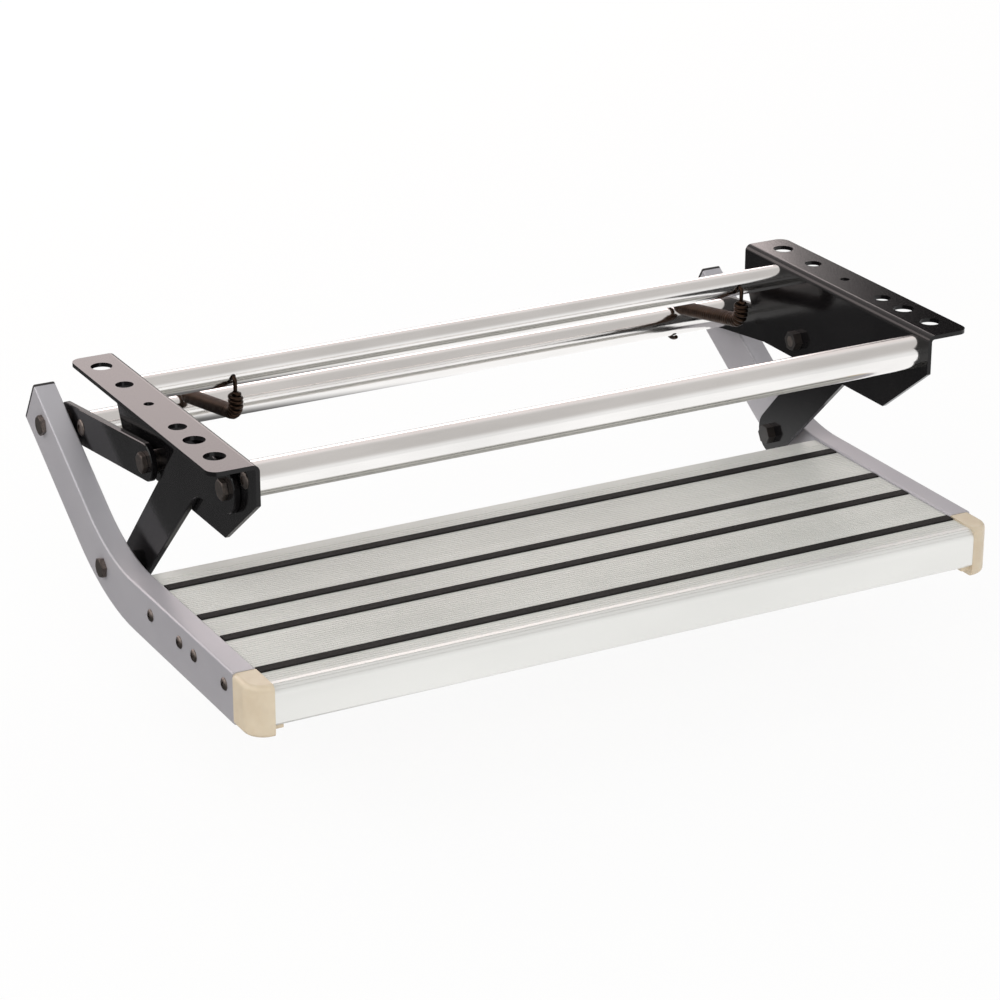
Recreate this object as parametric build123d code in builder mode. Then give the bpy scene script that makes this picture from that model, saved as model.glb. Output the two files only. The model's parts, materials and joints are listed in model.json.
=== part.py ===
from build123d import *
import os
from math import asin, atan2, cos, degrees, hypot, radians, sin

# Bracket: folded steel, mounting flange outward, plate hanging from its inner edge
plate_x = 256.5
sheet = 3.0
fold_radius = 2.0
flange_width = 34.5
flange_corner = 8.0
bracket_front = -122.0
bracket_length = 240.0
bracket_drop = 69.0
front_cut_long = 52.0
front_cut_high = 40.5
rear_cut_long = 22.0
rear_cut_high = 46.0

# Holes in the mounting flange: distance out from the plate, then position along it and diameter
hole_out = 19.5
floor_spacing = 191.0
floor_hole = 15.0
spare_hole_at = -63.0
inner_hole = 12.5
inner_hole_at = (-36.0, 54.5)
locating_hole = 7.0
locating_hole_at = 12.3

# Pivots on the bracket plate, and the parts stacked outward from it
rear_pivot = (43.0, -53.5)
front_pivot = (-82.0, -29.5)
front_washer = 0.8
link_sheet = 4.0
link_apart = 0.5
arm_spacer = 2.2
side_play = 0.2

# Links
rear_link_end = 13.5
front_link_end = 16.5
front_link_elbow = 19.5
elbow_at = (-24.0, -33.0)
elbow_fillet = 24.0
link_edge = 0.6

# Step arm: flat-sided aluminium tube bent upward behind the tread
arm_width = 16.5
arm_height = 37.0
arm_wall = 2.0
arm_corner = 1.6
rail_front = -139.0
bend_start = 29.0
bend_radius = 160.0
bend_angle = 33.0
upper_leg = 113.0
upper_pivot_along = 88.2
upper_pivot_above = 5.7
lower_pivot_angle = 18.9
plug_flange = 2.5
plug_depth = 12.0
plug_play = 0.15

# Tread: two ribbed hollow planks turned back to back, a nosing and a rear edging
tread_top = -133.5
rail_rise = 2.0
tread_seam = -65.0
plank_width = 93.0
plank_height = 27.5
plank_wall = 2.0
plank_skin = 2.8
seam_play = 0.2
boss_at = (12.0, 61.0)
boss_radius = 4.6
boss_drop = 11.0
strip_at = (19.0, 74.5)
strip_width = 8.5
strip_depth = 2.4
strip_proud = 1.0
strip_round = 0.7
strip_short = 1.0
strip_play = 0.1
rib_first = 2.4
rib_pitch = 3.0
rib_groove = 1.3
rib_depth = 0.7
rib_flank_angle = 118.0
nosing_depth = 9.5
nosing_radius = 6.5
nosing_groove = 0.9
nosing_grooves = 3
nosing_groove_from = 100.0
nosing_groove_arc = 66.0
nosing_lip = 2.0
edging_depth = 10.5
edging_radius = 4.0

# Corner cap on the front end of each arm
cap_length = 29.0
cap_height = 36.5
cap_drop = 0.25
cap_corner = 15.0
cap_edge = 3.5
cap_spigot = 8.0
cap_lip = 7.0
cap_lip_high = 3.0
cap_lip_long = 18.0

# Cross tubes, their end plugs and fixing bolts
rear_tube_at = (74.0, -12.5)
rear_tube_od = 18.0
front_tube_at = (-104.0, -16.5)
front_tube_od = 24.0
link_tube_back = 27.1
link_tube_od = 22.0
tube_wall = 2.0
tube_plug = 22.0
tube_bolt = 6.0
tube_bolt_head = 12.0
tube_bolt_head_high = 1.7
tube_bolt_long = 16.0

# Pivot bolts, nuts and tread screws
bolt = 8.0
bolt_head = 13.0
bolt_head_high = 3.5
nut_high = 6.5
spacer_od = 15.0
running_fit = 0.06
screw = 5.0
screw_head = 9.0
screw_head_high = 2.0
screw_reach = 16.0
hole_play = 0.1

# Springs: coil under the rear cross tube, swivel hook over the link cross tube
left_spring_in = 64.5
right_spring_in = 38.5
coil_od = 11.0
coil_groove = 1.0
coil_bore = 4.6
wire = 3.0
curl_od = 10.2
coil_drop = 27.0
coil_lead = 5.0
coil_turns = 26
curl_rise = 8.0
hook_play = 0.3
hook_wrap = 205.0
hook_hole = 4.2
hook_bend = 3.0
stem_inside = 9.0

plate_out = plate_x + sheet
hole_line = plate_x + hole_out
spring_x = (left_spring_in - plate_x, plate_x - right_spring_in)
front_link_in = plate_out + front_washer
front_link_out = front_link_in + link_sheet
rear_link_in = front_link_out + link_apart
rear_link_out = rear_link_in + link_sheet
arm_in = rear_link_out + arm_spacer
arm_out = arm_in + arm_width
arm_mid = arm_in + arm_width / 2
bracket_rear = bracket_front + bracket_length
rail_z = tread_top + rail_rise - arm_height / 2

# Arm centre line: level rail, bend, sloping upper leg
bend_end = (
    bend_start + bend_radius * sin(radians(bend_angle)),
    rail_z + bend_radius * (1 - cos(radians(bend_angle))),
)
leg_way = (cos(radians(bend_angle)), sin(radians(bend_angle)))


def on_leg(along, above=0):
    return (
        bend_end[0] + along * leg_way[0] - above * leg_way[1],
        bend_end[1] + along * leg_way[1] + above * leg_way[0],
    )


upper_pivot = on_leg(upper_pivot_along, upper_pivot_above)
lower_pivot = (
    bend_start + bend_radius * sin(radians(lower_pivot_angle)),
    rail_z + bend_radius * (1 - cos(radians(lower_pivot_angle))),
)
link_length = hypot(upper_pivot[0] - rear_pivot[0], upper_pivot[1] - rear_pivot[1])
link_way = ((upper_pivot[0] - rear_pivot[0]) / link_length, (upper_pivot[1] - rear_pivot[1]) / link_length)
link_tube_at = (upper_pivot[0] - link_tube_back * link_way[0], upper_pivot[1] - link_tube_back * link_way[1])

# Coil centre line: passes under the rear tube and over the link tube
hook_radius = link_tube_od / 2 + hook_play + wire / 2
tube_gap = hypot(link_tube_at[0] - rear_tube_at[0], link_tube_at[1] - rear_tube_at[1])
coil_slope = atan2(link_tube_at[1] - rear_tube_at[1], link_tube_at[0] - rear_tube_at[0]) + asin(
    (hook_radius + coil_drop) / tube_gap
)
coil_way = (cos(coil_slope), sin(coil_slope))
coil_back = (-cos(coil_slope), -sin(coil_slope))
coil_up = (-sin(coil_slope), cos(coil_slope))
coil_root = (rear_tube_at[0] - coil_drop * coil_up[0], rear_tube_at[1] - coil_drop * coil_up[1])
hook_top = (link_tube_at[0] + hook_radius * coil_up[0], link_tube_at[1] + hook_radius * coil_up[1])
coil_long = coil_turns * wire
curl_front = rear_tube_at[0] - rear_tube_od / 2 - hook_bend - plug_play
curl_radius = (coil_root[0] - curl_front) / (1 - coil_up[0])
curl_centre = (coil_root[0] + curl_radius * coil_up[0], coil_root[1] + curl_radius * coil_up[1])
hook_centre = (curl_front + hook_bend, rear_tube_at[1] - hook_bend)
hook_inside = plug_play + tube_wall + wire


def off_coil(along, above):
    return (
        coil_root[0] + along * coil_way[0] + above * coil_up[0],
        coil_root[1] + along * coil_way[1] + above * coil_up[1],
    )


def on_coil(along):
    return off_coil(along, 0)


def side(x):
    return Plane.YZ.offset(x)


def mirrored(piece):
    with BuildPart() as other:
        mirror(piece, about=Plane.YZ)
    return other.part


def round_pair(at, x_from, x_to, outer, inner):
    with BuildPart() as pair:
        with BuildSketch(side(x_from)):
            with Locations(at):
                Circle(outer / 2)
                Circle(inner / 2, mode=Mode.SUBTRACT)
        extrude(amount=x_to - x_from)
        mirror(about=Plane.YZ)
    return pair.part


def bolt_pair(at, head_x, tip_x):
    with BuildPart() as pair:
        with BuildSketch(side(head_x)):
            with Locations(at):
                RegularPolygon(bolt_head / 2, 6, major_radius=False)
        extrude(amount=bolt_head_high)
        with BuildSketch(side(tip_x)):
            with Locations(at):
                Circle(bolt / 2)
        extrude(amount=head_x - tip_x)
        mirror(about=Plane.YZ)
    return pair.part


def nut_pair(places, x_from, x_to):
    with BuildPart() as pair:
        with BuildSketch(side(x_from)):
            with Locations(*places):
                RegularPolygon(bolt_head / 2, 6, major_radius=False)
                Circle(bolt / 2 + hole_play, mode=Mode.SUBTRACT)
        extrude(amount=x_to - x_from)
        mirror(about=Plane.YZ)
    return pair.part


def tube_plugs(at, end_x, tube_od):
    with BuildPart() as plugs:
        with BuildSketch(side(end_x)):
            with Locations(at):
                Circle(tube_od / 2 - tube_wall - plug_play)
                Circle(tube_bolt / 2 + hole_play, mode=Mode.SUBTRACT)
        extrude(amount=-tube_plug)
        mirror(about=Plane.YZ)
    return plugs.part


def tube_bolts(places, seat_x):
    with BuildPart() as bolts:
        with BuildSketch(side(seat_x)):
            with Locations(*places):
                Circle(tube_bolt_head / 2)
        extrude(amount=tube_bolt_head_high)
        with BuildSketch(side(seat_x)):
            with Locations(*places):
                Circle(tube_bolt / 2)
        extrude(amount=-tube_bolt_long)
        mirror(about=Plane.YZ)
    return bolts.part


def cross_tube(at, half_length, od, hook_places):
    with BuildPart() as tube:
        with BuildSketch(side(-half_length)):
            with Locations(at):
                Circle(od / 2)
                Circle(od / 2 - tube_wall, mode=Mode.SUBTRACT)
        extrude(amount=2 * half_length)
        if hook_places:
            with BuildSketch(Plane.XZ.offset(-at[0])):
                with Locations(*[(x, at[1]) for x in hook_places]):
                    Circle(hook_hole / 2)
            extrude(amount=od / 2, mode=Mode.SUBTRACT)
    return tube.part


# Brackets
with BuildPart() as right_bracket:
    with BuildSketch(Plane.XZ.offset(-bracket_rear)):
        with BuildLine():
            Polyline(
                (plate_x, -bracket_drop),
                (plate_x, 0),
                (plate_x + flange_width, 0),
                (plate_x + flange_width, -sheet),
                (plate_out, -sheet),
                (plate_out, -bracket_drop),
                close=True,
            )
        make_face()
        fillet(vertices().sort_by_distance((plate_x, 0, 0))[0], fold_radius + sheet)
        fillet(vertices().sort_by_distance((plate_out, -sheet, 0))[0], fold_radius)
    extrude(amount=bracket_length)
    fillet(right_bracket.edges().filter_by(Axis.Z).group_by(Axis.X)[-1], flange_corner)
    with BuildSketch(side(plate_x - sheet)):
        with BuildLine():
            Polyline(
                (bracket_front - sheet, -bracket_drop - sheet),
                (bracket_front - sheet, front_cut_high - bracket_drop),
                (bracket_front, front_cut_high - bracket_drop),
                (bracket_front + front_cut_long, -bracket_drop),
                (bracket_front + front_cut_long, -bracket_drop - sheet),
                close=True,
            )
        make_face()
        with BuildLine():
            Polyline(
                (bracket_rear + sheet, -bracket_drop - sheet),
                (bracket_rear + sheet, rear_cut_high - bracket_drop),
                (bracket_rear, rear_cut_high - bracket_drop),
                (bracket_rear - rear_cut_long, -bracket_drop),
                (bracket_rear - rear_cut_long, -bracket_drop - sheet),
                close=True,
            )
        make_face()
    extrude(amount=3 * sheet, mode=Mode.SUBTRACT)
    with BuildSketch(Plane.XY):
        with Locations(*[(hole_line, y) for y in (-floor_spacing / 2, floor_spacing / 2, spare_hole_at)]):
            Circle(floor_hole / 2)
        with Locations(*[(hole_line, y) for y in inner_hole_at]):
            Circle(inner_hole / 2)
        with Locations((hole_line, locating_hole_at)):
            Circle(locating_hole / 2)
    extrude(amount=-2 * sheet, mode=Mode.SUBTRACT)
    with BuildSketch(side(plate_x - sheet)):
        with Locations(rear_pivot, front_pivot):
            Circle(bolt / 2 + hole_play)
        with Locations(rear_tube_at, front_tube_at):
            Circle(tube_bolt / 2 + hole_play)
    extrude(amount=3 * sheet, mode=Mode.SUBTRACT)

# Links
with BuildPart() as right_rear_link:
    with BuildSketch(side(rear_link_in)):
        with Locations(rear_pivot, upper_pivot):
            Circle(rear_link_end)
        make_hull()
        with Locations(rear_pivot, upper_pivot):
            Circle(bolt / 2 + running_fit, mode=Mode.SUBTRACT)
        with Locations(link_tube_at):
            Circle(tube_bolt / 2 + hole_play, mode=Mode.SUBTRACT)
    extrude(amount=link_sheet)
    chamfer(right_rear_link.faces().sort_by(Axis.X)[-1].outer_wire().edges(), link_edge)

with BuildSketch(side(front_link_in)) as link_fore_leg:
    with Locations(front_pivot):
        Circle(front_link_end)
    with Locations(elbow_at):
        Circle(front_link_elbow)
    make_hull()

with BuildPart() as right_front_link:
    with BuildSketch(side(front_link_in)):
        with Locations(lower_pivot):
            Circle(front_link_end)
        with Locations(elbow_at):
            Circle(front_link_elbow)
        make_hull()
        add(link_fore_leg.sketch_local)
        inside = ((front_pivot[0] + lower_pivot[0]) / 2, (front_pivot[1] + lower_pivot[1]) / 2, 0)
        fillet(vertices().sort_by_distance(inside)[0], elbow_fillet)
        with Locations(front_pivot):
            Circle(bolt / 2 + running_fit, mode=Mode.SUBTRACT)
        with Locations(lower_pivot):
            Circle(bolt / 2 + hole_play, mode=Mode.SUBTRACT)
    extrude(amount=link_sheet)
    chamfer(right_front_link.faces().sort_by(Axis.X)[-1].outer_wire().edges(), link_edge)

# Step arms
screw_places = [(tread_seam + way * u, tread_top - boss_drop) for way in (-1, 1) for u in boss_at]

with BuildPart() as right_side_arm:
    with BuildLine(side(arm_mid)) as arm_path:
        Line((rail_front, rail_z), (bend_start, rail_z))
        JernArc((bend_start, rail_z), (1, 0), bend_radius, bend_angle)
        Line(bend_end, on_leg(upper_leg))
    with BuildSketch(Plane((arm_mid, rail_front, rail_z), x_dir=(1, 0, 0), z_dir=(0, 1, 0))):
        RectangleRounded(arm_width, arm_height, arm_corner)
        Rectangle(arm_width - 2 * arm_wall, arm_height - 2 * arm_wall, mode=Mode.SUBTRACT)
    sweep(path=arm_path.line)
    with BuildSketch(side(arm_in - sheet)):
        with Locations(upper_pivot, lower_pivot):
            Circle(bolt / 2 + hole_play)
        with Locations(*screw_places):
            Circle(screw / 2 + hole_play)
    extrude(amount=arm_width + 2 * sheet, mode=Mode.SUBTRACT)

spigot_width = arm_width - 2 * (arm_wall + plug_play)
spigot_height = arm_height - 2 * (arm_wall + plug_play)

with BuildPart() as right_arm_plug:
    end = on_leg(upper_leg)
    end_plane = Plane((arm_mid, end[0], end[1]), x_dir=(1, 0, 0), z_dir=(0, leg_way[0], leg_way[1]))
    with BuildSketch(end_plane):
        RectangleRounded(arm_width, arm_height, arm_corner)
    extrude(amount=plug_flange)
    chamfer(right_arm_plug.faces().sort_by(Axis((0, 0, 0), (0, *leg_way)))[-1].edges(), link_edge)
    with BuildSketch(end_plane):
        Rectangle(spigot_width, spigot_height)
    extrude(amount=-plug_depth)

with BuildPart() as right_corner_cap:
    cap_middle = rail_z - cap_drop
    with BuildSketch(Plane.XY.offset(cap_middle - cap_height / 2)):
        with Locations((arm_in, rail_front)):
            Rectangle(arm_width, cap_length, align=(Align.MIN, Align.MAX))
        fillet(vertices().sort_by_distance((arm_out, rail_front - cap_length, 0))[0], cap_corner)
    extrude(amount=cap_height)
    for cap_end in (0, -1):
        cap_face = right_corner_cap.faces().sort_by(Axis.Z)[cap_end]
        fillet(cap_face.edges().sort_by(Axis.Y)[:-1].sort_by(Axis.X)[1:], cap_edge)
    with BuildSketch(Plane((arm_mid, rail_front, rail_z), x_dir=(1, 0, 0), z_dir=(0, 1, 0))):
        Rectangle(spigot_width, spigot_height)
    extrude(amount=cap_spigot)
    with BuildSketch(Plane.XY.offset(tread_top - plank_height - seam_play)):
        with Locations((arm_in, rail_front - cap_length + cap_edge)):
            Rectangle(2 * cap_lip, cap_lip_long, align=(Align.CENTER, Align.MIN))
    extrude(amount=-cap_lip_high)

# Tread planks
with BuildPart() as rear_tread_plank:
    with BuildSketch(side(-arm_in)) as plank_section:
        with Locations((tread_seam + seam_play, tread_top)):
            Rectangle(plank_width - seam_play, plank_height, align=(Align.MIN, Align.MAX))
        chamber_ends = [seam_play + plank_wall]
        for u in boss_at:
            chamber_ends += [u - plank_wall / 2, u + plank_wall / 2]
        chamber_ends.append(plank_width - plank_wall)
        for near, far in zip(chamber_ends[::2], chamber_ends[1::2]):
            with Locations((tread_seam + near, tread_top - plank_skin)):
                Rectangle(
                    far - near,
                    plank_height - plank_skin - plank_wall,
                    align=(Align.MIN, Align.MAX),
                    mode=Mode.SUBTRACT,
                )
        with Locations(*[(tread_seam + u, tread_top - boss_drop) for u in boss_at]):
            Circle(boss_radius)
            Circle(screw / 2 + hole_play, mode=Mode.SUBTRACT)
        with Locations(*[(tread_seam + u, tread_top - plank_wall) for u in strip_at]):
            Rectangle(strip_width + 2 * plank_wall, strip_depth, align=(Align.CENTER, Align.MAX))
        with Locations(*[(tread_seam + u, tread_top) for u in strip_at]):
            Rectangle(
                strip_width + 2 * strip_play,
                strip_depth,
                align=(Align.CENTER, Align.MAX),
                mode=Mode.SUBTRACT,
            )
        rib_lines = [rib_first + rib_pitch * i for i in range(int((plank_width - rib_first) / rib_pitch))]
        strip_room = strip_width / 2 + rib_groove
        rib_lines = [u for u in rib_lines if all(abs(u - strip) > strip_room for strip in strip_at)]
        with Locations(*[(tread_seam + u, tread_top) for u in rib_lines]):
            Trapezoid(
                rib_groove,
                rib_depth,
                rib_flank_angle,
                align=(Align.CENTER, Align.MAX),
                mode=Mode.SUBTRACT,
            )
    extrude(amount=2 * arm_in)

with BuildPart() as front_tread_plank:
    mirror(rear_tread_plank.part, about=Plane.XZ.offset(-tread_seam))

strip_parts = {}
strip_names = ("front", "front_middle", "rear_middle", "rear")
strip_lines = sorted(tread_seam + way * u for way in (-1, 1) for u in strip_at)
for strip_name, strip_y in zip(strip_names, strip_lines):
    with BuildPart() as grip_strip:
        with BuildSketch(side(strip_short - arm_in)):
            with Locations((strip_y, tread_top - strip_depth)):
                Rectangle(strip_width, strip_depth + strip_proud, align=(Align.CENTER, Align.MIN))
            fillet(vertices().group_by(Axis.Y)[-1], strip_round)
        extrude(amount=2 * (arm_in - strip_short))
    strip_parts[strip_name + "_grip_strip"] = grip_strip.part

# Nosing and rear edging
nosing_back = tread_seam - plank_width - seam_play
nosing_front = nosing_back - nosing_depth
nosing_low = tread_top - plank_height

with BuildPart() as front_nosing:
    with BuildSketch(side(-arm_in)):
        with BuildLine():
            back = Line((nosing_back, nosing_low), (nosing_back, tread_top))
            top = Line(back @ 1, (nosing_front + nosing_radius, tread_top))
            brow = RadiusArc(top @ 1, (nosing_front, tread_top - nosing_radius), -nosing_radius)
            face = Line(brow @ 1, (nosing_front, nosing_low + nosing_lip))
            lip = Line(face @ 1, (nosing_front + nosing_lip, nosing_low))
            Line(lip @ 1, back @ 0)
        make_face()
        with Locations((nosing_front + nosing_radius, tread_top - nosing_radius)):
            with PolarLocations(nosing_radius, nosing_grooves, nosing_groove_from, nosing_groove_arc):
                Rectangle(nosing_groove, nosing_groove, mode=Mode.SUBTRACT)
        with Locations((nosing_back - plank_wall, nosing_low + plank_wall)):
            Rectangle(
                nosing_depth - 2 * plank_wall,
                plank_height - plank_wall - nosing_radius,
                align=(Align.MAX, Align.MIN),
                mode=Mode.SUBTRACT,
            )
    extrude(amount=2 * arm_in)

edging_front = tread_seam + plank_width + seam_play
with BuildPart() as rear_edging:
    with BuildSketch(side(-arm_in)):
        with Locations((edging_front, tread_top)):
            Rectangle(edging_depth, plank_height, align=(Align.MIN, Align.MAX))
        fillet(vertices().sort_by_distance((edging_front + edging_depth, tread_top, 0))[0], edging_radius)
        with Locations((edging_front + plank_wall, tread_top - plank_skin)):
            Rectangle(
                edging_depth - 2 * plank_wall,
                plank_height,
                align=(Align.MIN, Align.MAX),
                mode=Mode.SUBTRACT,
            )
    extrude(amount=2 * arm_in)

# Tread screws through the arms into the planks
with BuildPart() as tread_screws:
    with BuildSketch(side(arm_out)):
        with Locations(*screw_places):
            Circle(screw_head / 2)
    extrude(amount=screw_head_high)
    with BuildSketch(side(arm_in - screw_reach)):
        with Locations(*screw_places):
            Circle(screw / 2)
    extrude(amount=arm_width + screw_reach)
    mirror(about=Plane.YZ)

# Open pivot of the linkage: bush, stub and nut that stay in the front links
with BuildPart() as lower_pivot_nuts:
    with BuildSketch(side(front_link_out)):
        with Locations(lower_pivot):
            Circle(spacer_od / 2)
    extrude(amount=arm_in - front_link_out - hook_play)
    with BuildSketch(side(front_link_in)):
        with Locations(lower_pivot):
            Circle(bolt / 2)
    extrude(amount=link_sheet)
    with BuildSketch(side(front_link_in - nut_high)):
        with Locations(lower_pivot):
            RegularPolygon(bolt_head / 2, 6, major_radius=False)
    extrude(amount=nut_high)
    mirror(about=Plane.YZ)


def coil_spring(x):
    with BuildPart() as spring:
        with BuildSketch(side(x)):
            with BuildLine():
                outline = [off_coil(coil_lead, 0)]
                for turn in range(coil_turns):
                    outline.append(off_coil(coil_lead + turn * wire, coil_od / 2 - coil_groove))
                    outline.append(off_coil(coil_lead + (turn + 0.5) * wire, coil_od / 2))
                outline.append(off_coil(coil_lead + coil_long, coil_od / 2 - coil_groove))
                outline.append(off_coil(coil_lead + coil_long, coil_bore / 2))
                outline.append(off_coil(coil_lead + coil_long - stem_inside - wire, coil_bore / 2))
                outline.append(off_coil(coil_lead + coil_long - stem_inside - wire, 0))
                Polyline(*outline, close=True)
            make_face()
        revolve(axis=Axis((x, *coil_root), (0, *coil_way)))
        with BuildSketch(Plane((x, *coil_root), x_dir=(1, 0, 0), z_dir=(0, *coil_way))):
            Circle(curl_od / 2)
        extrude(amount=coil_lead)
        with BuildSketch(Plane((x, *coil_root), x_dir=(1, 0, 0), z_dir=(0, *coil_back))):
            Circle(curl_od / 2)
        revolve(axis=Axis((x, *curl_centre), (-1, 0, 0)), revolution_arc=90 + degrees(coil_slope))
        with BuildSketch(Plane.XY.offset(curl_centre[1])):
            with Locations((x, curl_front)):
                Circle(curl_od / 2)
        extrude(amount=curl_rise)
        with BuildSketch(Plane.XY.offset(curl_centre[1] + curl_rise)):
            with Locations((x, curl_front)):
                Circle(wire / 2)
        extrude(amount=hook_centre[1] - curl_centre[1] - curl_rise)
        with BuildSketch(Plane.XY.offset(hook_centre[1])):
            with Locations((x, curl_front)):
                Circle(wire / 2)
        revolve(axis=Axis((x, *hook_centre), (-1, 0, 0)), revolution_arc=90)
        with BuildSketch(Plane.XZ.offset(-hook_centre[0])):
            with Locations((x, rear_tube_at[1])):
                Circle(wire / 2)
        extrude(amount=-hook_inside)
    return spring.part


def swivel_hook(x):
    stem_start = on_coil(coil_lead + coil_long - stem_inside)
    with BuildPart() as hook:
        with BuildSketch(Plane((x, *stem_start), x_dir=(1, 0, 0), z_dir=(0, *coil_way))):
            Circle(wire / 2)
        extrude(amount=hypot(hook_top[0] - stem_start[0], hook_top[1] - stem_start[1]))
        with BuildSketch(Plane((x, *hook_top), x_dir=(1, 0, 0), z_dir=(0, *coil_way))):
            Circle(wire / 2)
        revolve(axis=Axis((x, *link_tube_at), (-1, 0, 0)), revolution_arc=hook_wrap)
        with BuildSketch(Plane((x, *stem_start), x_dir=(1, 0, 0), z_dir=(0, *coil_way))):
            Circle(coil_bore / 2 - hook_play)
        extrude(amount=wire)
    return hook.part


upper_nut_in = rear_link_in - side_play - nut_high

pieces = {
    "right_bracket": right_bracket.part,
    "left_bracket": mirrored(right_bracket.part),
    "rear_cross_tube": cross_tube(rear_tube_at, plate_x, rear_tube_od, spring_x),
    "front_cross_tube": cross_tube(front_tube_at, plate_x, front_tube_od, ()),
    "rear_tube_plugs": tube_plugs(rear_tube_at, plate_x, rear_tube_od),
    "front_tube_plugs": tube_plugs(front_tube_at, plate_x, front_tube_od),
    "cross_tube_bolts": tube_bolts((rear_tube_at, front_tube_at), plate_out),
    "rear_pivot_bolts": bolt_pair(rear_pivot, rear_link_out + side_play, plate_x - nut_high),
    "front_pivot_bolts": bolt_pair(front_pivot, front_link_out + side_play, plate_x - nut_high),
    "bracket_pivot_nuts": nut_pair((rear_pivot, front_pivot), plate_x - nut_high, plate_x),
    "rear_pivot_spacers": round_pair(
        rear_pivot, plate_out, rear_link_in - side_play, spacer_od, bolt + 2 * hole_play
    ),
    "front_pivot_washers": round_pair(
        front_pivot, plate_out, front_link_in - side_play, spacer_od, bolt + 2 * hole_play
    ),
    "right_rear_link": right_rear_link.part,
    "left_rear_link": mirrored(right_rear_link.part),
    "link_cross_tube": cross_tube(link_tube_at, rear_link_in, link_tube_od, ()),
    "link_tube_plugs": tube_plugs(link_tube_at, rear_link_in, link_tube_od),
    "link_tube_bolts": tube_bolts((link_tube_at,), rear_link_out),
    "right_front_link": right_front_link.part,
    "left_front_link": mirrored(right_front_link.part),
    "lower_pivot_nuts": lower_pivot_nuts.part,
    "right_side_arm": right_side_arm.part,
    "left_side_arm": mirrored(right_side_arm.part),
    "right_arm_plug": right_arm_plug.part,
    "left_arm_plug": mirrored(right_arm_plug.part),
    "right_corner_cap": right_corner_cap.part,
    "left_corner_cap": mirrored(right_corner_cap.part),
    "upper_pivot_bolts": bolt_pair(upper_pivot, arm_out, upper_nut_in),
    "upper_pivot_spacers": round_pair(
        upper_pivot, rear_link_out + side_play, arm_in, spacer_od, bolt + 2 * hole_play
    ),
    "upper_pivot_nuts": nut_pair((upper_pivot,), upper_nut_in, upper_nut_in + nut_high),
    "lower_pivot_bolts": bolt_pair(lower_pivot, arm_out, arm_in),
    "front_tread_plank": front_tread_plank.part,
    "rear_tread_plank": rear_tread_plank.part,
    "front_nosing": front_nosing.part,
    "rear_edging": rear_edging.part,
    "tread_screws": tread_screws.part,
    "left_spring": coil_spring(spring_x[0]),
    "right_spring": coil_spring(spring_x[1]),
    "left_spring_hook": swivel_hook(spring_x[0]),
    "right_spring_hook": swivel_hook(spring_x[1]),
}
pieces.update(strip_parts)

os.makedirs("parts", exist_ok=True)
for name, piece in pieces.items():
    piece.label = name
    export_step(piece, f"parts/{name}.step")
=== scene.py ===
import json
import math

import bpy
from mathutils import Matrix, Vector

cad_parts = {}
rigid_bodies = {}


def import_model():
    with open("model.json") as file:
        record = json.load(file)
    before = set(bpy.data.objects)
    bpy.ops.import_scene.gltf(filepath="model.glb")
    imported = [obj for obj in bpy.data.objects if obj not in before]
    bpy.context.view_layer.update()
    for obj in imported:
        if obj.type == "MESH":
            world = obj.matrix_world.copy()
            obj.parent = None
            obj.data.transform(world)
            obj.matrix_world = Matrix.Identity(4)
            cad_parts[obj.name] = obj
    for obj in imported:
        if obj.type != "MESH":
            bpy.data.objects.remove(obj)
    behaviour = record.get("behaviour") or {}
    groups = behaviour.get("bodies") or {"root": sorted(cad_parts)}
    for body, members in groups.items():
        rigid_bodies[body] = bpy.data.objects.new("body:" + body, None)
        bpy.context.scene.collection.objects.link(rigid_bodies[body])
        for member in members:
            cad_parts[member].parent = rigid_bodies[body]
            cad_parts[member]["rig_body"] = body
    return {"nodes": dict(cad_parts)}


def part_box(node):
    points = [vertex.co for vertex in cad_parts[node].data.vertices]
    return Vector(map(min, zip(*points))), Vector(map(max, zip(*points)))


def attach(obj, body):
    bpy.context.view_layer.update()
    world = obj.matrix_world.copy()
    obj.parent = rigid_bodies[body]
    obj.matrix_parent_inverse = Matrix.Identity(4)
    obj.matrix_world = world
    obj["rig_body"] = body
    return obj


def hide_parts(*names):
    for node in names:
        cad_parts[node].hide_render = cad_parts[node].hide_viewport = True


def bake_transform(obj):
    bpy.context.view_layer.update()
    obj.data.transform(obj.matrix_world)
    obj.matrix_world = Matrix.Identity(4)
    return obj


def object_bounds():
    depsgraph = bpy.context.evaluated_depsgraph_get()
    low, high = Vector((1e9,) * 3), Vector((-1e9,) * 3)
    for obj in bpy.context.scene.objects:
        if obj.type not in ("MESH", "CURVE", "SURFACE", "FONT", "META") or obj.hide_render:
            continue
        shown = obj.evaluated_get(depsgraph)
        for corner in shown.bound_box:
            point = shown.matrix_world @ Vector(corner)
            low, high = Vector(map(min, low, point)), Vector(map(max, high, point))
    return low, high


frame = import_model()
cadLow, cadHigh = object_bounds()
scene = bpy.context.scene
mm = 0.001
mixFirst, mixSecond, mixResult = 6, 7, 2            # a Mix node's sockets for colours
randomLow, randomHigh, randomResult = 2, 3, 1       # a Random Value node's sockets for numbers
quarterTurn = math.radians(90)


def hexToLinear(code):
    channels = [int(code[i:i + 2], 16) / 255 for i in (0, 2, 4)]
    linear = [c / 12.92 if c <= 0.04045 else ((c + 0.055) / 1.055) ** 2.4 for c in channels]
    return (*linear, 1.0)


def addNode(tree, kind, settings=None, links=None):
    node = tree.nodes.new(kind)
    for key, value in (settings or {}).items():     # a socket's name or number, else the node's own setting
        if isinstance(key, int) or key[0].isupper():
            node.inputs[key].default_value = value
        else:
            setattr(node, key, value)
    for key, source in (links or {}).items():       # from an output, or from a node's first one
        tree.links.new(getattr(source, "outputs", [source])[0], node.inputs[key])
    return node


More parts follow.
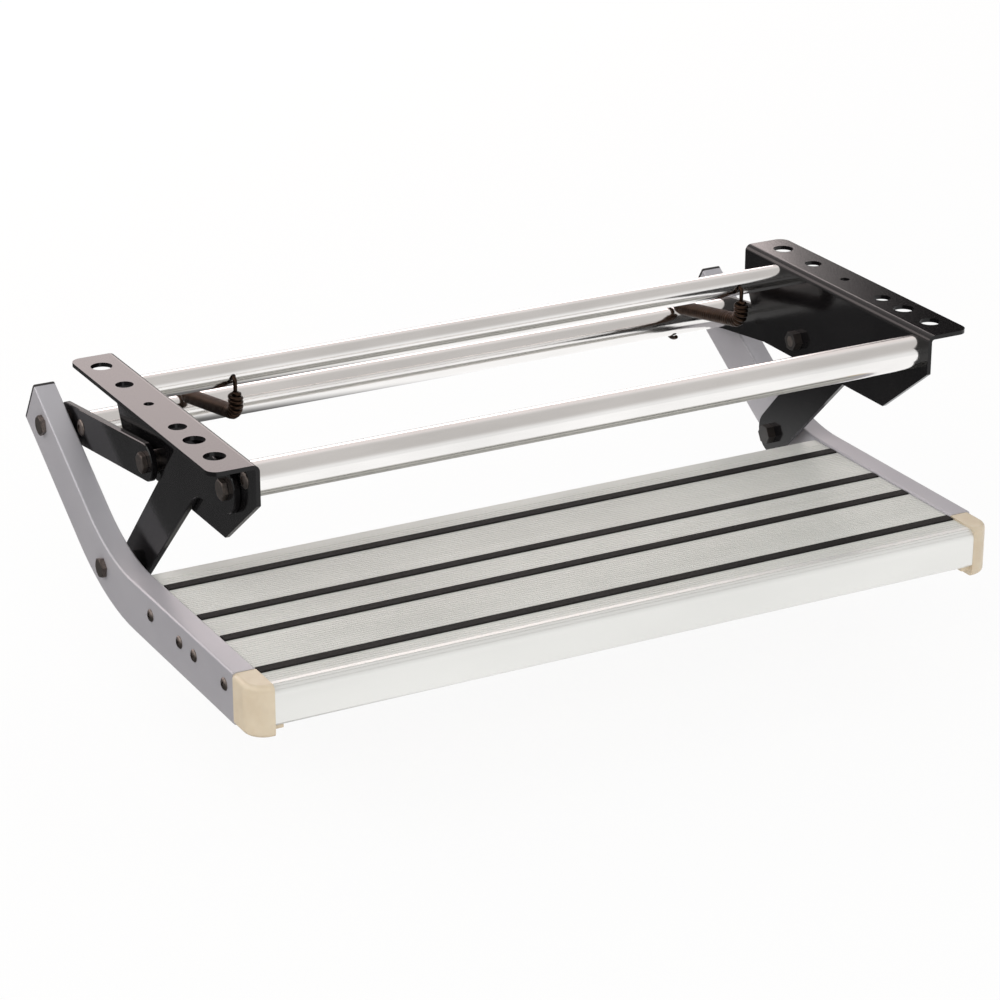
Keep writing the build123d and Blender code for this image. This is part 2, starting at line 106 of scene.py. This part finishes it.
# finishes: cloud shifts the tone, grain roughens and raises the surface, each as (size, stretch on X, Y, Z)
# grain under 1 mm is finer on the real surface, and drawn this coarse so that it shows
finishes = {
    "blackPowderCoat": {        # powder-coated steel: near black, glossy over a fine orange peel
        "tones": ("0d0c0d", "151415"),
        "cloud": (40 * mm, (1, 1, 1)),
        "grain": (1.6 * mm, (1, 1, 1)),
        "rough": (0.09, 0.15),
        "relief": 0.02 * mm,
        "shader": {"IOR": 1.33},
        "nodes": (
            "right_bracket", "left_bracket", "right_rear_link", "left_rear_link",
            "right_front_link", "left_front_link"),
    },
    "drawnAluminium": {         # drawn tube, bright dipped: mirror-like with faint die lines along its length
        "tones": ("e2e0de", "efedeb"),
        "cloud": (25 * mm, (4, 1, 1)),
        "grain": (0.7 * mm, (400, 1, 1)),
        "rough": (0.09, 0.19),
        "relief": 0.012 * mm,
        "shader": {"Metallic": 1.0},
        "nodes": (
            "rear_cross_tube", "front_cross_tube", "link_cross_tube",
            "rear_tube_plugs", "front_tube_plugs", "link_tube_plugs"),
    },
    "satinArmAluminium": {      # bent arm tube, etched and anodised: a cool satin grey with a fine matt grain
        "tones": ("acaaaf", "b7b5b9"),
        "cloud": (60 * mm, (1, 2, 1)),
        "grain": (0.8 * mm, (1, 1, 1)),
        "rough": (0.33, 0.41),
        "relief": 0.006 * mm,
        "shader": {"Metallic": 0.25},
        "nodes": ("right_side_arm", "left_side_arm"),
    },
    "treadAluminium": {         # extruded tread, natural anodised: pale grey with streaks along its length
        "tones": ("cacac5", "d6d6d1"),
        "cloud": (50 * mm, (3, 1, 1)),
        "grain": (0.9 * mm, (300, 1, 1)),
        "rough": (0.4, 0.5),
        "relief": 0.015 * mm,
        "shader": {"Metallic": 0.08, "Specular IOR Level": 0.3},
        "nodes": ("front_tread_plank", "rear_tread_plank", "rear_edging"),
    },
    "nosingAluminium": {        # extruded nosing, polished before anodising: a paler silver than the tread
        "tones": ("e0e0dd", "e8e8e5"),
        "cloud": (60 * mm, (4, 1, 1)),
        "grain": (0.8 * mm, (300, 1, 1)),
        "rough": (0.34, 0.42),
        "relief": 0.01 * mm,
        "shader": {"Metallic": 0.4},
        "nodes": ("front_nosing",),
    },
    "zincPlate": {              # zinc-plated steel, passivated: dull grey with faint warm patches
        "tones": ("6d6763", "8a7f78"),
        "cloud": (3 * mm, (1, 1, 1)),
        "grain": (0.6 * mm, (1, 1, 1)),
        "rough": (0.3, 0.45),
        "relief": 0.01 * mm,
        "shader": {"Metallic": 1.0},
        "nodes": (
            "cross_tube_bolts", "rear_pivot_bolts", "front_pivot_bolts", "rear_pivot_spacers",
            "front_pivot_washers", "link_tube_bolts", "upper_pivot_bolts", "upper_pivot_spacers",
            "lower_pivot_bolts", "tread_screws"),
    },
    "blackOxide": {             # blackened lock nuts: an oily near black, a little brown where it is worn
        "tones": ("191716", "2a2522"),
        "cloud": (4 * mm, (1, 1, 1)),
        "grain": (0.6 * mm, (1, 1, 1)),
        "rough": (0.28, 0.42),
        "relief": 0.015 * mm,
        "shader": {"IOR": 1.5},
        "nodes": ("bracket_pivot_nuts", "lower_pivot_nuts", "upper_pivot_nuts"),
    },
    "gripRubber": {             # extruded rubber strip: matt black with a fine dusty tooth
        "tones": ("141312", "201e1d"),
        "cloud": (9 * mm, (3, 1, 1)),
        "grain": (0.8 * mm, (2, 1, 1)),
        "rough": (0.62, 0.8),
        "relief": 0.08 * mm,
        "shader": {"IOR": 1.5, "Specular IOR Level": 0.2},
        "nodes": (
            "front_grip_strip", "front_middle_grip_strip", "rear_middle_grip_strip", "rear_grip_strip"),
    },
    "plugPolymer": {            # moulded polyethylene plug: soft black with a light spark-eroded texture
        "tones": ("211f20", "2c2a2b"),
        "cloud": (6 * mm, (1, 1, 1)),
        "grain": (0.7 * mm, (1, 1, 1)),
        "rough": (0.45, 0.6),
        "relief": 0.03 * mm,
        "shader": {"IOR": 1.5},
        "nodes": ("right_arm_plug", "left_arm_plug"),
    },
    "capPolymer": {             # moulded cream ABS: a warm ivory, half gloss, very slightly translucent
        "tones": ("cebea5", "d7c9b1"),
        "cloud": (14 * mm, (1, 1, 1)),
        "grain": (0.9 * mm, (1, 1, 1)),
        "rough": (0.34, 0.46),
        "relief": 0.012 * mm,
        "shader": {
            "IOR": 1.53, "Subsurface Weight": 0.12, "Subsurface Scale": 0.5,
            "Subsurface Radius": (4 * mm, 3 * mm, 2 * mm)},
        "nodes": ("right_corner_cap", "left_corner_cap"),
    },
    "springSteel": {            # oil-tempered spring wire: dark bronze with a dull sheen
        "tones": ("2e231c", "42332a"),
        "cloud": (5 * mm, (1, 1, 1)),
        "grain": (0.7 * mm, (1, 1, 1)),
        "rough": (0.3, 0.46),
        "relief": 0.01 * mm,
        "shader": {"Metallic": 1.0},
        "nodes": ("left_spring", "right_spring", "left_spring_hook", "right_spring_hook"),
    },
}
noise = {
    "span": (0.3, 0.7),         # where nearly all of its values lie
    "detail": {"cloud": 3.0, "grain": 2.0},     # finer octaves in each
    "fade": 0.55,               # share of its strength that each finer octave keeps
}


def makeFinish(name, finish):
    material = bpy.data.materials.new(name)
    material.use_nodes = True
    tree = material.node_tree
    shader = tree.nodes["Principled BSDF"]
    for socket, value in finish["shader"].items():
        shader.inputs[socket].default_value = value
    place = addNode(tree, "ShaderNodeTexCoord").outputs["Object"]
    layers = {}
    for layer, detail in noise["detail"].items():
        size, stretch = finish[layer]
        spaced = addNode(
            tree, "ShaderNodeMapping", {"Scale": [1 / (size * s) for s in stretch]}, {"Vector": place})
        layers[layer] = addNode(
            tree, "ShaderNodeTexNoise", {"Scale": 1.0, "Detail": detail, "Roughness": noise["fade"]},
            {"Vector": spaced})
    span = {"From Min": noise["span"][0], "From Max": noise["span"][1]}
    tone = addNode(tree, "ShaderNodeMapRange", span, {"Value": layers["cloud"]})
    first, second = [hexToLinear(code) for code in finish["tones"]]
    colour = addNode(
        tree, "ShaderNodeMix", {"data_type": "RGBA", mixFirst: first, mixSecond: second}, {0: tone})
    low, high = finish["rough"]
    rough = addNode(
        tree, "ShaderNodeMapRange", {**span, "To Min": low, "To Max": high}, {"Value": layers["grain"]})
    relief = addNode(tree, "ShaderNodeBump", {"Distance": finish["relief"]}, {"Height": layers["grain"]})
    tree.links.new(colour.outputs[mixResult], shader.inputs["Base Color"])
    tree.links.new(rough.outputs[0], shader.inputs["Roughness"])
    tree.links.new(relief.outputs[0], shader.inputs["Normal"])
    return material


made = {}
for name, finish in finishes.items():
    made[name] = makeFinish(name, finish)
    for node in finish["nodes"]:
        slots = frame["nodes"][node].data.materials
        slots.clear()
        slots.append(made[name])
print("finishes:", len(made))


def newTree(name, inputs):
    tree = bpy.data.node_groups.new(name, "GeometryNodeTree")
    tree.interface.new_socket("Geometry", in_out="INPUT", socket_type="NodeSocketGeometry")
    for label, kind in inputs.items():
        tree.interface.new_socket(label, in_out="INPUT", socket_type="NodeSocket" + kind)
    tree.interface.new_socket("Geometry", in_out="OUTPUT", socket_type="NodeSocketGeometry")
    return tree, addNode(tree, "NodeGroupInput").outputs


def closeTree(tree, geometry, finish):
    real = addNode(tree, "GeometryNodeRealizeInstances", None, {"Geometry": geometry})
    painted = addNode(tree, "GeometryNodeSetMaterial", None, {"Geometry": real, "Material": finish})
    addNode(tree, "NodeGroupOutput", None, {"Geometry": painted})
    return tree


def grow(name, tree, points, edges, values):
    # runs a tree on points and edges and keeps the result as a plain mesh
    mesh = bpy.data.meshes.new(name)
    mesh.from_pydata(points, edges, [])
    piece = bpy.data.objects.new(name, mesh)
    scene.collection.objects.link(piece)
    modifier = piece.modifiers.new("grown", "NODES")
    modifier.node_group = tree
    for item in tree.interface.items_tree:
        if item.in_out == "INPUT" and item.name in values:
            modifier[item.identifier] = values[item.name]
    grown = bpy.data.meshes.new_from_object(piece.evaluated_get(bpy.context.evaluated_depsgraph_get()))
    piece.modifiers.remove(modifier)
    piece.data = grown
    return piece


def middle(node):
    low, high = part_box(node)
    return (low + high) / 2


# springs: each is two interleaved open coils, one on each end, so that it can stretch as the step swings out
spring = {
    "wire": 3.0 * mm,
    "coilAcross": 11.0 * mm,
    "turns": 26,
    "lastTurn": 0.62,           # share of the width where a coil closes on the stem of the hook
    "drop": 27.0 * mm,          # coil line below the rear tube's axis
    "lead": 5.0 * mm,           # from under the axis to the first turn
    "rise": 8.0 * mm,           # coiled part of the curl above its bend
    "tubeGap": 3.15 * mm,       # curl's line in front of the rear tube
    "hookBend": 3.0 * mm,       # bend of the bare wire into the rear tube
    "hookIn": 5.2 * mm,         # straight end after that bend
    "hookPlay": 0.3 * mm,       # between the other hook and the link tube
    "stepsATurn": 16,
    "wireSides": 10,
}


def wireTree():
    tree, given = newTree(
        "wireAlongPath", {"Wire Radius": "Float", "Wire Sides": "Int", "Finish": "Material"})
    line = addNode(tree, "GeometryNodeMeshToCurve", None, {"Mesh": given["Geometry"]})
    ring = addNode(
        tree, "GeometryNodeCurvePrimitiveCircle", None,
        {"Resolution": given["Wire Sides"], "Radius": given["Wire Radius"]})
    swept = addNode(
        tree, "GeometryNodeCurveToMesh", {"Fill Caps": True}, {"Curve": line, "Profile Curve": ring})
    smooth = addNode(tree, "GeometryNodeSetShadeSmooth", None, {"Geometry": swept})
    return closeTree(tree, smooth, given["Finish"])


def springLine():
    # in the YZ plane: the coil runs from its root, under the rear tube, towards the top of the link tube, and
    # the curl bends from the root up in front of the rear tube to its hole
    tube, linkTube = middle("rear_cross_tube").yz, middle("link_cross_tube").yz
    linkLow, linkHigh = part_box("link_cross_tube")
    hookRadius = (linkHigh.z - linkLow.z) / 2 + spring["hookPlay"] + spring["wire"] / 2
    between = linkTube - tube
    slope = math.atan2(between.y, between.x) + math.asin((hookRadius + spring["drop"]) / between.length)
    along = Vector((math.cos(slope), math.sin(slope)))
    above = Vector((-math.sin(slope), math.cos(slope)))
    root = tube - spring["drop"] * above
    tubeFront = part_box("rear_cross_tube")[0].y
    front = tubeFront - spring["tubeGap"]
    bend = (root.x - front) / (1 - above.x)
    return {
        "slope": slope, "along": along, "above": above, "root": root, "front": front, "bend": bend,
        "curl": root + bend * above, "first": root + spring["lead"] * along,
        "hole": Vector((0, tubeFront, tube.y)), "radius": (spring["coilAcross"] - spring["wire"]) / 2}


def coilTurns(line, phase):
    # an open coil from the link tube to the lead: each point's centre, way out, angle and radius
    steps, narrow = spring["stepsATurn"], spring["lastTurn"]
    length = spring["turns"] * spring["wire"]
    count = spring["turns"] * steps // 2            # one turn for every two of the whole spring
    points = []
    for i in range(count + 1):
        centre = line["root"] + (spring["lead"] + length * (1 - i / count)) * line["along"]
        share = min(1.0, narrow + (1 - narrow) * i / steps)
        points.append((centre, line["above"], phase + math.tau * i / steps, line["radius"] * share))
    return points


def curlTurns(line, angle):
    # close turns along the lead, round the bend and up the rise, where they narrow to the bare wire
    steps, lead, bend = spring["stepsATurn"], spring["lead"], line["bend"]
    bent = bend * (quarterTurn + line["slope"])
    length = lead + bent + spring["rise"]
    count = round(length / spring["wire"]) * steps
    points = []
    for i in range(1, count + 1):
        went = length * i / count
        if went < lead:
            out = line["above"]
            centre = line["root"] + (lead - went) * line["along"]
        elif went < lead + bent:
            out = Matrix.Rotation((lead - went) / bend, 2) @ line["above"]
            centre = line["curl"] - bend * out
        else:
            out = Vector((1, 0))
            centre = Vector((line["front"], line["curl"].y + went - lead - bent))
        share = min(1.0, (count - i) / steps)
        points.append((centre, out, angle + math.tau * i / steps, line["radius"] * share))
    return points


def hookEnd(line):
    # bare wire that bends from the rise into the hole of the rear tube
    bend, steps = spring["hookBend"], spring["stepsATurn"] // 2
    corner = Vector((line["front"] + bend, line["hole"].z - bend))
    centres = []
    for i in range(steps + 1):
        turned = quarterTurn * i / steps
        centres.append(corner + bend * Vector((-math.cos(turned), math.sin(turned))))
    centres.append(centres[-1] + Vector((spring["hookIn"], 0)))
    return [(centre, line["above"], 0.0, 0.0) for centre in centres]


def springPoints(x, line, withCurl, phase):
    points = coilTurns(line, phase)
    if withCurl:
        points += curlTurns(line, points[-1][2]) + hookEnd(line)
    return [
        (x + radius * math.sin(angle), *(centre + radius * math.cos(angle) * out))
        for centre, out, angle, radius in points]


def buildSprings():
    tree = wireTree()
    line = springLine()
    sizes = {
        "Wire Radius": spring["wire"] / 2, "Wire Sides": spring["wireSides"], "Finish": made["springSteel"]}
    for side in ("left", "right"):
        x = middle(side + "_spring").x
        for part, withCurl, phase in (("Front", True, 0.0), ("Rear", False, math.pi)):
            points = springPoints(x, line, withCurl, phase)
            edges = [(i, i + 1) for i in range(len(points) - 1)]
            piece = grow(side + "Spring" + part, tree, points, edges, sizes)
            if withCurl:
                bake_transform(piece)
            else:
                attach(piece, "spring_hooks")
            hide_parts(side + "_spring")


buildSprings()
print("springs: built")


# fasteners: one head form for each kind, set on the heads of the plain ones
fasteners = {
    "hex": {
        "groups": {
            "upper_pivot_bolts": "upperPivotBolts", "lower_pivot_bolts": "lowerPivotBolts",
            "rear_pivot_bolts": "rearPivotBolts", "front_pivot_bolts": "frontPivotBolts"},
        "across": 13.0 * mm, "high": 3.5 * mm, "shank": 8.0 * mm},
    "cross": {
        "groups": {"tread_screws": "treadScrews"},
        "across": 9.0 * mm, "high": 2.0 * mm, "shank": 5.0 * mm},
    "socket": {
        "groups": {"cross_tube_bolts": "crossTubeBolts", "link_tube_bolts": "linkTubeBolts"},
        "across": 12.0 * mm, "high": 1.7 * mm, "shank": 6.0 * mm},
}
headForm = {
    "hexFace": 0.46,            # shares of the head's width,
    "hexCone": 1.15,
    "socket": 0.25,
    "crossLong": 0.56,
    "crossWide": 0.13,
    "socketDepth": 0.6,         # and of its height
    "crossDepth": 0.7,
    "hexSides": 6,
    "roundSides": 32,
    "coneSides": 48,
    "domeRings": 24,
    "shankSides": 20,
    "faceDepth": 0.1 * mm,      # points this close to the outermost one are on the face of a head
    "apart": 1.3,               # in widths, points nearer than this are on the same head
}


def headCrown(tree, kind, given):
    # what rounds the top of the head: a cone for a hexagon, else a dome
    if kind == "hex":
        crown = addNode(
            tree, "GeometryNodeMeshCone", {"Vertices": headForm["coneSides"]},
            {"Radius Top": given["Face Radius"], "Radius Bottom": given["Cone Radius"],
             "Depth": given["Head Height"]})
    else:
        ball = addNode(
            tree, "GeometryNodeMeshUVSphere",
            {"Segments": headForm["roundSides"], "Rings": headForm["domeRings"], "Radius": 1.0})
        crown = addNode(
            tree, "GeometryNodeTransform", None, {"Geometry": ball, "Scale": given["Head Size"]})
    return addNode(
        tree, "GeometryNodeTransform", None, {"Geometry": crown, "Translation": given["Head Seat"]})


def headCutters(tree, kind, given):
    # what is cut out of the top of the head, nothing for a hexagon
    if kind == "hex":
        return []
    if kind == "socket":
        return [addNode(
            tree, "GeometryNodeMeshCylinder", {"Vertices": headForm["hexSides"]},
            {"Radius": given["Cut Radius"], "Depth": given["Cut Depth"]})]
    blade = addNode(tree, "GeometryNodeMeshCube", None, {"Size": given["Slot Size"]})
    across = addNode(
        tree, "GeometryNodeTransform", {"Rotation": (0, 0, quarterTurn)}, {"Geometry": blade})
    return [blade, across]


def headTree(kind):
    # a head with its middle at the origin, facing Z, its shank below, turned outward at each point
    tree, given = newTree(kind + "Heads", {
        "Head Radius": "Float", "Head Height": "Float", "Head Size": "Vector", "Face Radius": "Float",
        "Cone Radius": "Float", "Head Seat": "Vector", "Head Top": "Vector", "Cut Radius": "Float",
        "Cut Depth": "Float", "Slot Size": "Vector", "Shank Radius": "Float", "Reach": "Float",
        "Shank Middle": "Vector", "Seed": "Int", "Finish": "Material"})
    sides = headForm["hexSides"] if kind == "hex" else headForm["roundSides"]
    barrel = addNode(
        tree, "GeometryNodeMeshCylinder", {"Vertices": sides},
        {"Radius": given["Head Radius"], "Depth": given["Head Height"]})
    crown = headCrown(tree, kind, given)
    head = addNode(
        tree, "GeometryNodeMeshBoolean", {"operation": "INTERSECT", "solver": "EXACT"}, {"Mesh 2": barrel})
    tree.links.new(crown.outputs[0], head.inputs["Mesh 2"])
    for cutter in headCutters(tree, kind, given):
        recess = addNode(
            tree, "GeometryNodeTransform", None, {"Geometry": cutter, "Translation": given["Head Top"]})
        head = addNode(
            tree, "GeometryNodeMeshBoolean", {"operation": "DIFFERENCE", "solver": "EXACT"},
            {"Mesh 1": head, "Mesh 2": recess})
    rod = addNode(
        tree, "GeometryNodeMeshCylinder", {"Vertices": headForm["shankSides"]},
        {"Radius": given["Shank Radius"], "Depth": given["Reach"]})
    shank = addNode(
        tree, "GeometryNodeTransform", None, {"Geometry": rod, "Translation": given["Shank Middle"]})
    whole = addNode(tree, "GeometryNodeJoinGeometry", None, {"Geometry": head})
    tree.links.new(shank.outputs[0], whole.inputs["Geometry"])
    spot = addNode(tree, "GeometryNodeInputPosition")
    outward = addNode(tree, "ShaderNodeVectorMath", {"operation": "MULTIPLY", 1: (1, 0, 0)}, {0: spot})
    facing = addNode(tree, "FunctionNodeAlignRotationToVector", {"axis": "Z"}, {"Vector": outward})
    placed = addNode(
        tree, "GeometryNodeInstanceOnPoints", None,
        {"Points": given["Geometry"], "Instance": whole, "Rotation": facing})
    angle = addNode(
        tree, "FunctionNodeRandomValue", {"data_type": "FLOAT", randomLow: 0.0, randomHigh: math.tau},
        {"Seed": given["Seed"]})
    roll = addNode(tree, "ShaderNodeCombineXYZ", None, {"Z": angle.outputs[randomResult]})
    turned = addNode(
        tree, "GeometryNodeRotateInstances", None, {"Instances": placed, "Rotation": roll})
    return closeTree(tree, turned, given["Finish"])


def headCentres(node, across):
    # middles of the heads' faces on the right side, from the outermost points of the fastener's own mesh
    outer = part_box(node)[1].x
    heads = []
    for vertex in frame["nodes"][node].data.vertices:
        if vertex.co.x > outer - headForm["faceDepth"]:
            near = [h for h in heads if (h[0] - vertex.co).length < headForm["apart"] * across]
            if near:
                near[0].append(vertex.co.copy())
            else:
                heads.append([vertex.co.copy()])
    return [sum(h, Vector()) / len(h) for h in heads]


def buildFasteners():
    for kind, sizes in fasteners.items():
        tree = headTree(kind)
        across, high = sizes["across"], sizes["high"]
        corner = across / 2 / math.cos(math.pi / headForm["hexSides"])
        for seed, (node, name) in enumerate(sizes["groups"].items()):
            source = frame["nodes"][node]
            tip = min(v.co.x for v in source.data.vertices if v.co.x > 0)
            middles = [Vector((c.x - high / 2, c.y, c.z)) for c in headCentres(node, across)]
            points = [Vector((side * c.x, c.y, c.z)) for c in middles for side in (-1, 1)]
            reach = middles[0].x - high / 2 - tip
            piece = grow(name, tree, points, [], {
                "Head Radius": corner if kind == "hex" else across / 2, "Head Height": high,
                "Head Size": (across / 2, across / 2, high), "Face Radius": headForm["hexFace"] * across,
                "Cone Radius": headForm["hexCone"] * across, "Head Seat": (0, 0, -high / 2),
                "Head Top": (0, 0, high / 2), "Cut Radius": headForm["socket"] * across,
                "Cut Depth": 2 * headForm["socketDepth"] * high,     # half of a cutter stands above the head
                "Slot Size": (
                    headForm["crossLong"] * across, headForm["crossWide"] * across,
                    2 * headForm["crossDepth"] * high),
                "Shank Radius": sizes["shank"] / 2, "Reach": reach,
                "Shank Middle": (0, 0, -(high + reach) / 2), "Seed": seed, "Finish": made["zincPlate"]})
            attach(piece, source["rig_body"])
            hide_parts(node)
            print("fasteners:", name, len(points))


buildFasteners()


# studio: pale floor, white surround with a dark flag, soft boxes in front, low behind and on the left
studio = {
    "floorRoom": 78 * mm,       # below the part, so that the step can swing out and down
    "floorSize": 60.0,
    "floorTone": "f2f1ef",
    "floorWhite": 0.9,          # share of plain white that the camera sees, the rest is lit and shaded
    "floorNear": 1.15,          # what mirrors see of the floor, in front and on the right,
    "floorFar": 0.15,           # and behind on the left
    "floorTurn": (0.0, 0.19),   # from the one to the other along floorWay
    "floorWay": (-0.85, 0.5, 0),
    "surround": 0.72,           # light that the surround sheds on matt surfaces
    "front": "ffffff",          # what mirrors see of the surround: the side of the camera,
    "back": "f6eeec",           # the side behind the part,
    "above": "d3d0ce",          # and overhead
    "backEdge": (0.0, 0.6),     # Y of the way there, where back begins and where it is full
    "aboveWay": (0, -0.39, 0.92),
    "aboveEdge": (0.50, 0.80),  # cosine of the angle from aboveWay, where above begins and where it is full
    "dark": "1e1c1c",           # a dark flag behind on the right
    "flagFrom": 33.4,           # degrees right of straight behind
    "flagSoft": 0.04,           # sine of the width of its side edge
    "flagTop": (0.40, 0.46),    # sine of its height, where the flag is full and where it ends
    "aim": (0, 0, -0.06),       # what the soft boxes face
    "boxes": {
        "key": {
            "place": (-1.1, -2.6, 1.9), "size": (1.8, 1.8), "power": 30.0,
            "tint": "ffffff", "mirrored": False},
        "back": {
            "place": (-0.05, 2.6, 1.0), "size": (4.0, 1.0), "power": 30.0,
            "tint": "ffeeec", "mirrored": True},
        "side": {
            "place": (-2.2, 0.4, 1.4), "size": (2.4, 0.8), "power": 12.0,
            "tint": "ffffff", "mirrored": True},
    },
}


def softBox(name, box):
    light = bpy.data.lights.new(name, "AREA")
    light.shape = "RECTANGLE"
    light.size, light.size_y = box["size"]
    light.energy = box["power"]
    light.color = hexToLinear(box["tint"])[:3]
    lamp = bpy.data.objects.new(name + "Box", light)
    lamp.location = box["place"]
    lamp.rotation_mode = "QUATERNION"
    lamp.rotation_quaternion = (Vector(studio["aim"]) - lamp.location).to_track_quat("-Z", "Y")
    lamp.visible_camera = False
    lamp.visible_glossy = box["mirrored"]
    scene.collection.objects.link(lamp)


def buildFloor():
    half = studio["floorSize"] / 2
    level = cadLow.z - studio["floorRoom"]
    mesh = bpy.data.meshes.new("floor")
    corners = [(-half, -half, level), (half, -half, level), (half, half, level), (-half, half, level)]
    mesh.from_pydata(corners, [], [(0, 1, 2, 3)])
    floor = bpy.data.objects.new("floor", mesh)
    scene.collection.objects.link(floor)
    material = bpy.data.materials.new("paleFloor")
    material.use_nodes = True
    tree = material.node_tree
    tree.nodes.clear()
    path = addNode(tree, "ShaderNodeLightPath")
    matt = addNode(tree, "ShaderNodeBsdfDiffuse", {"Color": hexToLinear(studio["floorTone"])})
    white = addNode(tree, "ShaderNodeEmission", {"Strength": 1.0})
    seen = addNode(
        tree, "ShaderNodeMath", {"operation": "MULTIPLY", 1: studio["floorWhite"]},
        {0: path.outputs["Is Camera Ray"]})
    plain = addNode(tree, "ShaderNodeMixShader", None, {0: seen, 1: matt, 2: white})
    place = addNode(tree, "ShaderNodeTexCoord").outputs["Object"]
    spot = addNode(
        tree, "ShaderNodeVectorMath", {"operation": "DOT_PRODUCT", 1: studio["floorWay"]}, {0: place})
    near, far = studio["floorTurn"]
    fade = addNode(
        tree, "ShaderNodeMapRange",
        {"interpolation_type": "SMOOTHSTEP", "From Min": near, "From Max": far,
         "To Min": studio["floorNear"], "To Max": studio["floorFar"]}, {"Value": spot.outputs["Value"]})
    mirrored = addNode(tree, "ShaderNodeEmission", None, {"Strength": fade})
    off = addNode(
        tree, "ShaderNodeMath", {"operation": "MAXIMUM"},
        {0: path.outputs["Is Glossy Ray"], 1: path.outputs["Is Transmission Ray"]})
    mix = addNode(tree, "ShaderNodeMixShader", None, {0: off, 1: plain, 2: mirrored})
    addNode(tree, "ShaderNodeOutputMaterial", None, {"Surface": mix})
    mesh.materials.append(material)


def buildSurround():
    world = bpy.data.worlds.new("surround")
    scene.world = world
    world.use_nodes = True
    tree = world.node_tree
    tree.nodes.clear()
    way = addNode(tree, "ShaderNodeTexCoord").outputs["Generated"]
    split = addNode(tree, "ShaderNodeSeparateXYZ", None, {0: way})
    smooth = {"interpolation_type": "SMOOTHSTEP"}
    begins, full = studio["backEdge"]
    behind = addNode(
        tree, "ShaderNodeMapRange", {**smooth, "From Min": begins, "From Max": full},
        {"Value": split.outputs["Y"]})
    front, back = hexToLinear(studio["front"]), hexToLinear(studio["back"])
    walls = addNode(
        tree, "ShaderNodeMix", {"data_type": "RGBA", mixFirst: front, mixSecond: back}, {0: behind})
    overhead = addNode(
        tree, "ShaderNodeVectorMath", {"operation": "DOT_PRODUCT", 1: studio["aboveWay"]}, {0: way})
    begins, full = studio["aboveEdge"]
    high = addNode(
        tree, "ShaderNodeMapRange", {**smooth, "From Min": begins, "From Max": full},
        {"Value": overhead.outputs["Value"]})
    room = addNode(
        tree, "ShaderNodeMix", {"data_type": "RGBA", mixSecond: hexToLinear(studio["above"])},
        {0: high, mixFirst: walls.outputs[mixResult]})
    edge = math.radians(studio["flagFrom"])
    past = addNode(
        tree, "ShaderNodeVectorMath",
        {"operation": "DOT_PRODUCT", 1: (math.cos(edge), -math.sin(edge), 0)}, {0: way})
    beside = addNode(
        tree, "ShaderNodeMapRange", {**smooth, "From Min": 0.0, "From Max": studio["flagSoft"]},
        {"Value": past.outputs["Value"]})
    top, clear = studio["flagTop"]
    under = addNode(
        tree, "ShaderNodeMapRange", {**smooth, "From Min": clear, "From Max": top},
        {"Value": split.outputs["Z"]})
    shade = addNode(tree, "ShaderNodeMath", {"operation": "MULTIPLY"}, {0: beside, 1: under})
    flag = addNode(tree, "ShaderNodeMath", {"operation": "MULTIPLY"}, {0: shade, 1: behind})
    mirrored = addNode(
        tree, "ShaderNodeMix", {"data_type": "RGBA", mixSecond: hexToLinear(studio["dark"])},
        {0: flag, mixFirst: room.outputs[mixResult]})
    path = addNode(tree, "ShaderNodeLightPath")
    seen = addNode(
        tree, "ShaderNodeMath", {"operation": "MAXIMUM"},
        {0: path.outputs["Is Camera Ray"], 1: path.outputs["Is Transmission Ray"]})
    scattered = addNode(tree, "ShaderNodeBackground", {"Color": (1, 1, 1, 1), "Strength": studio["surround"]})
    white = addNode(tree, "ShaderNodeBackground", {"Color": (1, 1, 1, 1), "Strength": 1.0})
    reflected = addNode(
        tree, "ShaderNodeBackground", {"Strength": 1.0}, {"Color": mirrored.outputs[mixResult]})
    plain = addNode(tree, "ShaderNodeMixShader", None, {0: seen, 1: scattered, 2: white})
    mix = addNode(
        tree, "ShaderNodeMixShader", None, {0: path.outputs["Is Glossy Ray"], 1: plain, 2: reflected})
    addNode(tree, "ShaderNodeOutputWorld", None, {"Surface": mix})


buildFloor()
buildSurround()
for name, box in studio["boxes"].items():
    softBox(name, box)
print("studio: lit")


# camera: where the photograph was taken from
view = {
    "place": (-1041.65 * mm, -1900.0 * mm, 764.5 * mm),
    "azimuth": -28.3,
    "elevation": 22.15,
    "lens": 118.8,
    "sensor": 36.0,
}
turn, tilt = math.radians(view["azimuth"]), math.radians(view["elevation"])
away = Vector((-math.sin(turn) * math.cos(tilt), math.cos(turn) * math.cos(tilt), -math.sin(tilt)))
lens = bpy.data.cameras.new("camera")
lens.lens = view["lens"]
lens.sensor_width = view["sensor"]
camera = bpy.data.objects.new("camera", lens)
camera.location = view["place"]
camera.rotation_mode = "QUATERNION"
camera.rotation_quaternion = away.to_track_quat("-Z", "Y")
scene.collection.objects.link(camera)
scene.camera = camera
scene.view_settings.view_transform = "Standard"
print("camera: placed")
